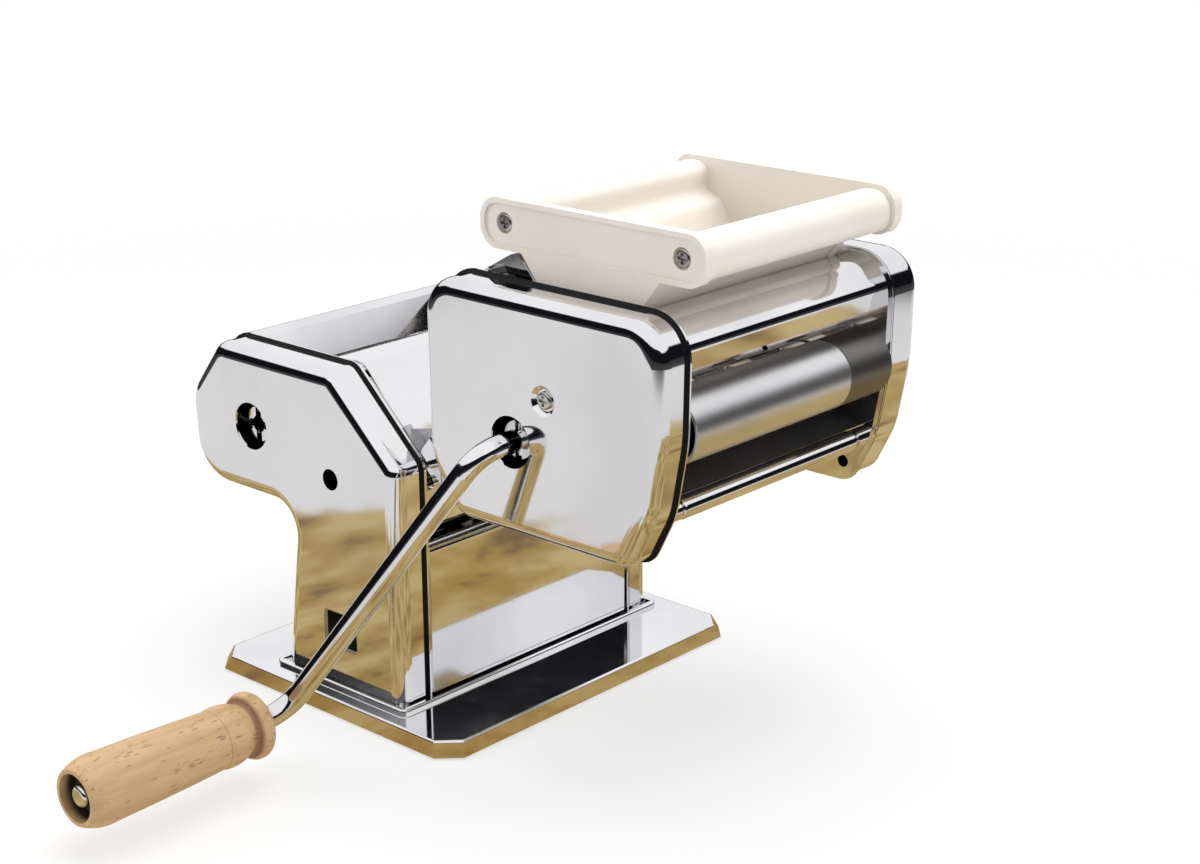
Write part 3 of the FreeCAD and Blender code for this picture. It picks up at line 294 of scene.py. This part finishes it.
def turnedFinish():  # lathe lines run round the rollers
    f = newFinish("turnedRoller")
    lines = f.noise(turned["lines"], 3.0, 0.7, stretch=(0.02, 22, 0.02))
    cloud = f.noise(turned["clouds"], 3.0, 0.6)
    f.surface({"Base Color": f.mix(lines, turned["shade"], turned["colour"]),
               "Roughness": turned["roughness"] + lines * 0.1 + f.step(cloud, 0.5, 0.8) * 0.08,
               "Normal": f.bump(lines, 0.25, turned["deep"])}, {"Metallic": 1.0})
    return f.owner


machined = {"colour": (0.56, 0.56, 0.57), "oil": (0.38, 0.375, 0.37), "roughness": 0.26,
            "grain": 420.0, "clouds": 45.0, "deep": 0.00008}


def machinedFinish():
    f = newFinish("machinedSteel")
    grain = f.noise(machined["grain"], 2.0, 0.6, stretch=(1, 0.12, 1))
    cloud = f.noise(machined["clouds"], 3.0, 0.6)
    f.surface({"Base Color": f.mix(f.step(cloud, 0.4, 0.75), machined["colour"], machined["oil"]),
               "Roughness": machined["roughness"] + grain * 0.12,
               "Normal": f.bump(grain, 0.3, machined["deep"])}, {"Metallic": 1.0})
    return f.owner


screw = {"colour": (0.66, 0.65, 0.62), "worn": (0.45, 0.43, 0.4), "roughness": 0.2,
         "grain": 700.0, "clouds": 160.0, "deep": 0.00005}


def screwFinish():
    f = newFinish("platedScrew")
    grain = f.noise(screw["grain"], 2.0, 0.5)
    cloud = f.noise(screw["clouds"], 2.0, 0.5)
    f.surface({"Base Color": f.mix(f.step(cloud, 0.45, 0.7), screw["colour"], screw["worn"]),
               "Roughness": screw["roughness"] + grain * 0.1,
               "Normal": f.bump(grain, 0.2, screw["deep"])}, {"Metallic": 1.0})
    return f.owner


cream = {"colour": (0.81, 0.755, 0.69), "shade": (0.77, 0.71, 0.635), "roughness": 0.3,
         "clouds": 16.0, "grain": 1400.0, "mould": 160.0, "deep": 0.0001}


def creamFinish():
    f = newFinish("creamPlastic")
    cloud = f.noise(cream["clouds"], 3.0, 0.55)
    grain = f.noise(cream["grain"], 2.0, 0.5)
    mould = f.noise(cream["mould"], 2.0, 0.5)
    f.surface({"Base Color": f.mix(f.step(cloud, 0.35, 0.7), cream["colour"], cream["shade"]),
               "Roughness": cream["roughness"] + mould * 0.1,
               "Normal": f.bump(mould + grain * 0.25, 0.2, cream["deep"])},
              {"Subsurface Weight": 0.06, "Subsurface Radius": (0.004, 0.003, 0.002),
               "Specular IOR Level": 0.5})
    return f.owner


nylon = {"colour": (0.80, 0.79, 0.74), "shade": (0.70, 0.68, 0.62), "roughness": 0.45,
         "grain": 900.0, "clouds": 80.0, "deep": 0.0001}


def nylonFinish():
    f = newFinish("nylonBush")
    grain = f.noise(nylon["grain"], 2.0, 0.5)
    cloud = f.noise(nylon["clouds"], 2.0, 0.5)
    f.surface({"Base Color": f.mix(cloud, nylon["colour"], nylon["shade"]),
               "Roughness": nylon["roughness"] + grain * 0.1,
               "Normal": f.bump(grain, 0.2, nylon["deep"])})
    return f.owner


black = {"colour": (0.018, 0.018, 0.02), "shade": (0.035, 0.035, 0.038), "roughness": 0.34,
         "grain": 1100.0, "clouds": 60.0, "deep": 0.00012}


def blackFinish():
    f = newFinish("blackPlastic")
    grain = f.noise(black["grain"], 3.0, 0.6)
    cloud = f.noise(black["clouds"], 2.0, 0.5)
    f.surface({"Base Color": f.mix(cloud, black["colour"], black["shade"]),
               "Roughness": black["roughness"] + grain * 0.14,
               "Normal": f.bump(grain, 0.35, black["deep"])})
    return f.owner


rubber = {"colour": (0.03, 0.03, 0.03), "dust": (0.09, 0.088, 0.085), "roughness": 0.72,
          "grain": 800.0, "dusts": 120.0, "deep": 0.0002}


def rubberFinish():
    f = newFinish("footRubber")
    grain = f.noise(rubber["grain"], 4.0, 0.7)
    dust = f.noise(rubber["dusts"], 3.0, 0.6)
    f.surface({"Base Color": f.mix(f.step(dust, 0.5, 0.8), rubber["colour"], rubber["dust"]),
               "Roughness": rubber["roughness"] + grain * 0.15,
               "Normal": f.bump(grain, 0.5, rubber["deep"])})
    return f.owner


# Beech turned on a lathe: x and z are its axis, and the places along it are in y.
beech = {"pale": (0.63, 0.435, 0.235), "warm": (0.49, 0.305, 0.15), "streak": (0.42, 0.235, 0.11),
         "fleck": (0.21, 0.105, 0.05), "grooveShadeAndLine": (0.20, 0.085, 0.045), "hollow": (0.03, 0.022, 0.02),
         "x": 0.0318, "z": 0.03, "end": -0.2916, "groove": -0.1936, "line": -0.2116,
         "grooveFade": (0.0022, 0.0006), "lineFade": (0.0004, 0.0001), "mouthFade": (0.001, 0.0065),
         "hollowRadius": 0.0124, "hollowDeep": 0.012, "skew": (0.05, 0, 0.04), "deep": 0.0002,
         "grains": 16.0, "streaks": 95.0, "cells": 620.0, "fleckAreas": 170.0}


def beechFinish():
    f = newFinish("varnishedBeech")
    skew = beech["skew"]
    x, y, z = f.axis(0) - beech["x"], f.axis(1), f.axis(2) - beech["z"]
    ring = (x * x + z * z) ** 0.5
    grain = f.noise(beech["grains"], 4.0, 0.6, stretch=(5.0, 0.45, 5.0), turn=skew)
    streak = f.noise(beech["streaks"], 3.0, 0.6, stretch=(1, 0.06, 1), turn=skew)
    area = f.noise(beech["fleckAreas"], 2.0, 0.6, stretch=(1, 0.3, 1))
    fleck = f.make("TexVoronoi", {"feature": "F1"}, {"Vector": f.place((1, 0.2, 1), skew),
                                                     "Scale": beech["cells"], "Randomness": 1.0})
    fleck = f.step(fleck, 0.34, 0.16) * f.step(area, 0.46, 0.6)
    body = f.mix(f.step(grain, 0.35, 0.66), beech["pale"], beech["warm"])
    body = f.mix(f.step(streak, 0.42, 0.72) * 0.5, body, beech["streak"])
    body = f.mix(fleck * 0.75, body, beech["fleck"])
    # painted shade darkens the groove beside the ring, and a thin dark line marks where the body
    # starts
    groove = f.step(abs(y - beech["groove"]), *beech["grooveFade"])
    line = f.step(abs(y - beech["line"]), *beech["lineFade"]) * 0.45
    body = f.mix(groove * 0.7 + line, body, beech["grooveShadeAndLine"])
    # painted shade: the hollow in the grip's end is painted near black inside
    hollow = f.step(y, *(beech["end"] + deep for deep in beech["mouthFade"]))
    hollow = hollow * (ring < beech["hollowRadius"]) * (y < beech["end"] + beech["hollowDeep"])
    f.surface({"Base Color": f.mix(hollow, body, beech["hollow"]),
               "Roughness": 0.42 + streak * 0.16 + fleck * 0.1,
               "Normal": f.bump(streak * 0.6 - fleck * 0.8, 0.3, beech["deep"])},
              {"Coat Weight": 0.08, "Coat Roughness": 0.3})
    return f.owner


finishes = {"polished_steel": chromeFinish(), "roller_metal": turnedFinish(),
            "gear_steel": machinedFinish(), "bearing_plastic": nylonFinish(),
            "dark_plastic": blackFinish(), "cream_plastic": creamFinish(),
            "screw_steel": screwFinish(), "foot_rubber": rubberFinish(), "beech": beechFinish()}
ownFinishes = {"spindle_washer": finishes["dark_plastic"], "unit_near_frame": unitFrameFinish(),
               "front_guide_tube": satinFinish(),
               "column_wall_panel": leaningFinish("wallChrome", panelLean["wall"]),
               "head_front_panel": leaningFinish("headChrome", panelLean["head"]),
               "base_tray": trayFinish(), "near_frame": frameFinish(),
               "fixed_sheet_roller": socketFinish()}
for twin, first in (("back_guide_tube", "front_guide_tube"), ("far_frame", "near_frame"),
                    ("unit_far_frame", "unit_near_frame")):
    ownFinishes[twin] = ownFinishes[first]
for name, node in frame["nodes"].items():
    for slot in node.material_slots:
        slotName = slot.material.name.split(".")[0]
        slot.material = ownFinishes.get(name, finishes[slotName])
print("finishes on", len(frame["nodes"]), "nodes")


# A dark piece shows all round between each pressed cover and its flange: painted shadow of the gap.
seamShadow = {"start": 0.0791, "wide": 0.0021, "proud": 0.00012,
        "colour": (0.004, 0.004, 0.005), "dust": (0.010, 0.010, 0.011), "roughness": 0.35}
seamShadowCovers = ("near_cover", "far_cover", "unit_near_cover", "unit_far_cover")


def shadowFinish():  # the depth of a narrow gap
    f = newFinish("gapShadow")
    dust = f.noise(300.0, 2.0, 0.5)
    f.surface({"Base Color": f.mix(dust, seamShadow["colour"], seamShadow["dust"]),
               "Roughness": seamShadow["roughness"] + dust * 0.2,
               "Normal": f.bump(dust, 0.2, 0.00005)}, {"Specular IOR Level": 0.15})
    return f.owner


def coverSeam(node, finish):  # the cover's own outline between two planes, a little proud
    side = 1 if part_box(node)[1][1] > 0 else -1
    ends = (side * seamShadow["start"], side * (seamShadow["start"] + seamShadow["wide"]))
    bm = bmesh.new()
    bm.from_mesh(frame["nodes"][node].data)
    bmesh.ops.remove_doubles(bm, verts=bm.verts, dist=1e-6)
    for y, away in zip(ends, (-side, side)):
        bmesh.ops.bisect_plane(bm, geom=bm.verts[:] + bm.edges[:] + bm.faces[:], dist=1e-7,
                               plane_co=(0, y, 0), plane_no=(0, away, 0), clear_outer=True)
    bm.normal_update()
    for vert in bm.verts:
        vert.co += vert.normal * seamShadow["proud"]
    for y in ends:
        rim = [edge for edge in bm.edges
               if edge.is_boundary and abs(edge.verts[0].co.y - y) < 1e-4]
        bmesh.ops.triangle_fill(bm, use_beauty=True, edges=rim)
    bmesh.ops.recalc_face_normals(bm, faces=bm.faces)
    piece = newPiece(bm, node.replace("_cover", "_seam"), finish, bodyOf(node))
    return piece


seamShadowFinish = shadowFinish()
for coverNode in seamShadowCovers:
    coverSeam(coverNode, seamShadowFinish)
print("seams on", len(seamShadowCovers), "covers")


# White numbers on the face of the regulator's knob, and the mark that they are read against:
# the highest number stands at the mark while the rollers are closest.
dial = {"count": 10, "height": 0.0046, "ring": 0.0128, "thick": 0.00006, "turn": 300.0,
        "paint": (0.80, 0.80, 0.78), "worn": (0.62, 0.62, 0.60), "roughness": 0.45,
        "markWide": 0.0026, "markLong": 0.0042, "markOut": 0.0205, "markThick": 0.0004,
        "markRound": 0.0001}


def paintFinish():
    f = newFinish("dialPaint")
    wear = f.noise(500.0, 3.0, 0.6)
    f.surface({"Base Color": f.mix(f.step(wear, 0.55, 0.8), dial["paint"], dial["worn"]),
               "Roughness": dial["roughness"] + wear * 0.2,
               "Normal": f.bump(wear, 0.2, 0.00005)})
    return f.owner


def digitMesh(words):
    curve = bpy.data.curves.new("digit", "FONT")
    curve.body = words
    curve.size = dial["height"]
    curve.extrude = dial["thick"]
    curve.align_x = "CENTER"
    curve.align_y = "CENTER"
    digit = bpy.data.objects.new("digit", curve)
    mesh = bpy.data.meshes.new_from_object(digit)
    bpy.data.objects.remove(digit)
    return mesh


def knobCentre():
    low, high = (Vector(corner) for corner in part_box("regulator_knob"))
    return Vector(((low.x + high.x) / 2, high.y, (low.z + high.z) / 2))


def dialNumbers():
    facing = Matrix(((-1, 0, 0, 0), (0, 0, 1, 0), (0, 1, 0, 0), (0, 0, 0, 1)))  # towards +Y
    out = Matrix.Translation((0, dial["ring"], 0)) @ Matrix.Rotation(math.radians(-90), 4, "Z")
    onKnob = Matrix.Translation(knobCentre()) @ facing
    bm = bmesh.new()
    for number in range(dial["count"]):
        angle = math.radians(90 - dial["turn"] * (1 - number / (dial["count"] - 1)))
        start = len(bm.verts)
        bm.from_mesh(digitMesh(str(number)))
        bm.verts.ensure_lookup_table()
        bmesh.ops.transform(bm, matrix=onKnob @ Matrix.Rotation(angle, 4, "Z") @ out,
                            verts=bm.verts[start:])
    piece = newPiece(bm, "dialNumbers", paintFinish(), bodyOf("regulator_knob"), smooth=False)
    return piece


def dialMark():
    centre = knobCentre()
    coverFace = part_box("far_cover")[1][1]
    bm = bmesh.new()
    bmesh.ops.create_circle(bm, cap_ends=True, segments=3, radius=dial["markWide"])
    bmesh.ops.scale(bm, vec=(1, dial["markLong"] / dial["markWide"], 1), verts=bm.verts)
    lid = bmesh.ops.extrude_face_region(bm, geom=bm.faces[:])["geom"]
    bmesh.ops.translate(bm, vec=(0, 0, dial["markThick"]),
                        verts=[vert for vert in lid if isinstance(vert, bmesh.types.BMVert)])
    bmesh.ops.bevel(bm, geom=bm.edges[:], offset=dial["markRound"], segments=2, profile=0.5,
                    affect="EDGES", material=-1)
    turn = Matrix(((0, -1, 0, 0), (0, 0, 1, 0), (-1, 0, 0, 0), (0, 0, 0, 1)))  # points to the knob
    beside = centre.x + dial["markOut"] + dial["markLong"]
    bmesh.ops.transform(bm, matrix=Matrix.Translation((beside, coverFace, centre.z)) @ turn,
                        verts=bm.verts)
    bmesh.ops.recalc_face_normals(bm, faces=bm.faces)
    piece = newPiece(bm, "dialMark", finishes["dark_plastic"], bodyOf("far_cover"), smooth=False)
    return piece


dialNumbers()
dialMark()
print("dial marked")


studio = {"aim": (0.09448, 0.0, 0.14959), "azimuth": 42.07, "elevation": 18.02, "roll": -0.18,
          "distance": 1.1308, "lens": 65.43, "sensor": 36.0}


def makeCamera():
    azimuth, elevation = math.radians(studio["azimuth"]), math.radians(studio["elevation"])
    back = Vector((math.sin(azimuth) * math.cos(elevation),
                   -math.cos(azimuth) * math.cos(elevation), math.sin(elevation)))
    data = bpy.data.cameras.new("camera")
    data.lens = studio["lens"]
    data.sensor_width = studio["sensor"]
    camera = bpy.data.objects.new("camera", data)
    turn = (-back).to_track_quat("-Z", "Y").to_matrix().to_4x4()
    roll = Matrix.Rotation(math.radians(studio["roll"]), 4, "Z")
    stand = Matrix.Translation(Vector(studio["aim"]) + back * studio["distance"])
    camera.matrix_world = stand @ turn @ roll
    scene.collection.objects.link(camera)
    scene.camera = camera


# What the bright metal mirrors, seen by glossy rays alone, is painted: pale paper with a patch
# of warm table colours close by as a painted reflection, a dark room round the horizon, and a
# ceiling that starts lowest at the back left. The camera itself sees a plain floor and white air.
mirrorRoom = {"paper": (0.775, 0.762, 0.765), "gold": (0.41, 0.262, 0.062),
              "pale": (0.565, 0.43, 0.175), "umber": (0.155, 0.088, 0.034),
              "dark": (0.006, 0.006, 0.008), "ceiling": (0.97, 0.97, 0.985),
              "warmReach": 0.37, "warmRight": 0.33, "warmAlong": (0.93, 0.37),
              "warmTurn": (0.45, 0.8), "warmFade": 0.015, "lumps": 15.0, "lumpDeep": 0.16,
              "folds": 26.0, "paleFolds": (0.42, 0.62), "umberFolds": (0.43, 0.33),
              "umberShare": 0.85, "glow": 0.95, "core": 0.01,
              "paperEnd": 0.95, "frontCut": 0.12, "frontTurn": (0.9, 1.3), "fade": 0.12,
              "ceilingLow": 0.16, "ceilingHigh": 0.215, "rightLift": 0.17,
              "rightFrom": (-0.2, 0.5), "frontLift": 0.25, "frontFrom": (0.2, -0.5)}
floorLook = {"size": 8.0, "colour": (0.86, 0.86, 0.855), "glow": 0.62, "glowStart": 0.45,
             "glowFull": 1.3}
airLook = {"light": (0.62, 0.62, 0.62), "seen": (1, 1, 1)}


def warmPatch(f, along, radius):  # its mask, and its colour in folds
    lumps = f.noise(mirrorRoom["lumps"], 3.0, 0.55)
    folds = f.noise(mirrorRoom["folds"], 4.0, 0.6, stretch=(1.0, 0.55, 1.0), turn=(0, 0, 0.6))
    right = f.step(along, *mirrorRoom["warmTurn"])
    edge = radius - right * mirrorRoom["warmRight"] + (lumps - 0.5) * mirrorRoom["lumpDeep"]
    reach, fade = mirrorRoom["warmReach"], mirrorRoom["warmFade"]
    paintedFoodReflection = f.mix(f.step(folds, *mirrorRoom["paleFolds"]), mirrorRoom["gold"], mirrorRoom["pale"])
    umber = f.step(folds, *mirrorRoom["umberFolds"]) * mirrorRoom["umberShare"]
    paintedFoodReflection = f.mix(umber, paintedFoodReflection, mirrorRoom["umber"])
    return f.step(edge, reach + fade, reach - fade), paintedFoodReflection


def mirroredFloor(f):
    x, y = f.axis(0), f.axis(1)
    radius = (x * x + y * y) ** 0.5
    apart = radius + mirrorRoom["core"]  # never zero
    alongX, alongY = mirrorRoom["warmAlong"]
    warm, paintedFoodReflection = warmPatch(f, (x * alongX + y * alongY) / apart, radius)
    frontRight = f.step((x - y) / apart, *mirrorRoom["frontTurn"])
    paperEnd = mirrorRoom["paperEnd"] - frontRight * mirrorRoom["frontCut"]
    dark = f.step(radius - paperEnd, 0.0, mirrorRoom["fade"])
    tone = f.mix(dark, f.mix(warm, mirrorRoom["paper"], paintedFoodReflection), mirrorRoom["dark"])
    return radius, f.make("Emission", None, {"Color": tone, "Strength": 1.0})


def makeFloor():
    mesh = bpy.data.meshes.new("studioFloor")
    bm = bmesh.new()
    bmesh.ops.create_grid(bm, x_segments=1, y_segments=1, size=floorLook["size"] / 2)
    bm.to_mesh(mesh)
    bm.free()
    floor = bpy.data.objects.new("studioFloor", mesh)
    scene.collection.objects.link(floor)
    f = newFinish("studioPaper")
    path = f.make("LightPath")
    radius, room = mirroredFloor(f)
    paper = f.make("BsdfDiffuse", None, {"Color": (*floorLook["colour"], 1)})
    white = f.make("Emission", None, {"Color": (1, 1, 1, 1), "Strength": 1.0})
    shine = f.step(radius, floorLook["glowStart"], floorLook["glowFull"], floorLook["glow"], 1.0)
    seen = f.make("MixShader", None, {0: shine, 1: paper, 2: white})
    mirrored = f.make("MixShader", None, {0: mirrorRoom["glow"], 1: paper, 2: room})
    other = f.make("MixShader", None, {0: path.other("Is Glossy Ray"), 1: paper, 2: mirrored})
    f.output("OutputMaterial",
             f.make("MixShader", None, {0: path.other("Is Camera Ray"), 1: other, 2: seen}))
    mesh.materials.append(f.owner)


def makeWorld():
    world = bpy.data.worlds.new("studioAir")
    scene.world = world
    f = Finish(world)
    path = f.make("LightPath")
    coords = f.make("SeparateXYZ", None, {0: f.make("TexCoord", out="Generated")})
    x, y, z = (coords.other(number) for number in range(3))
    rightLift = f.step(x, *mirrorRoom["rightFrom"], 0.0, mirrorRoom["rightLift"])
    frontLift = f.step(y, *mirrorRoom["frontFrom"], 0.0, mirrorRoom["frontLift"])
    lift = rightLift.count("MAXIMUM", rightLift, frontLift)
    ceiling = f.step(z - lift, mirrorRoom["ceilingLow"], mirrorRoom["ceilingHigh"])
    mirrored = f.mix(ceiling, mirrorRoom["dark"], mirrorRoom["ceiling"])
    unseen = f.mix(path.other("Is Glossy Ray"), airLook["light"], mirrored)
    colour = f.mix(path.other("Is Camera Ray"), unseen, airLook["seen"])
    f.output("OutputWorld", f.make("Background", None, {"Color": colour, "Strength": 1.0}))


# Each softbox: its name, place, what it faces, its side in metres and its power in watts.
lampRows = (("topSoftbox", (0.1, 0.2, 1.5), (0.05, 0.0, 0.1), 1.3, 17.0),
            ("leftSoftbox", (-1.2, -1.0, 0.9), (0.05, 0.0, 0.12), 0.9, 9.0),
            ("rightSoftbox", (1.5, 0.6, 1.0), (0.1, 0.0, 0.12), 0.8, 6.0))


def makeLamps():
    for name, place, aim, size, power in lampRows:
        data = bpy.data.lights.new(name, "AREA")
        data.shape = "SQUARE"
        data.size = size
        data.energy = power
        lamp = bpy.data.objects.new(name, data)
        turn = (Vector(aim) - Vector(place)).to_track_quat("-Z", "Y").to_matrix().to_4x4()
        lamp.matrix_world = Matrix.Translation(place) @ turn
        lamp.visible_glossy = False  # the metal mirrors the room alone
        scene.collection.objects.link(lamp)


makeCamera()
makeFloor()
makeWorld()
makeLamps()
scene.view_settings.view_transform = "Standard"
print("studio ready")
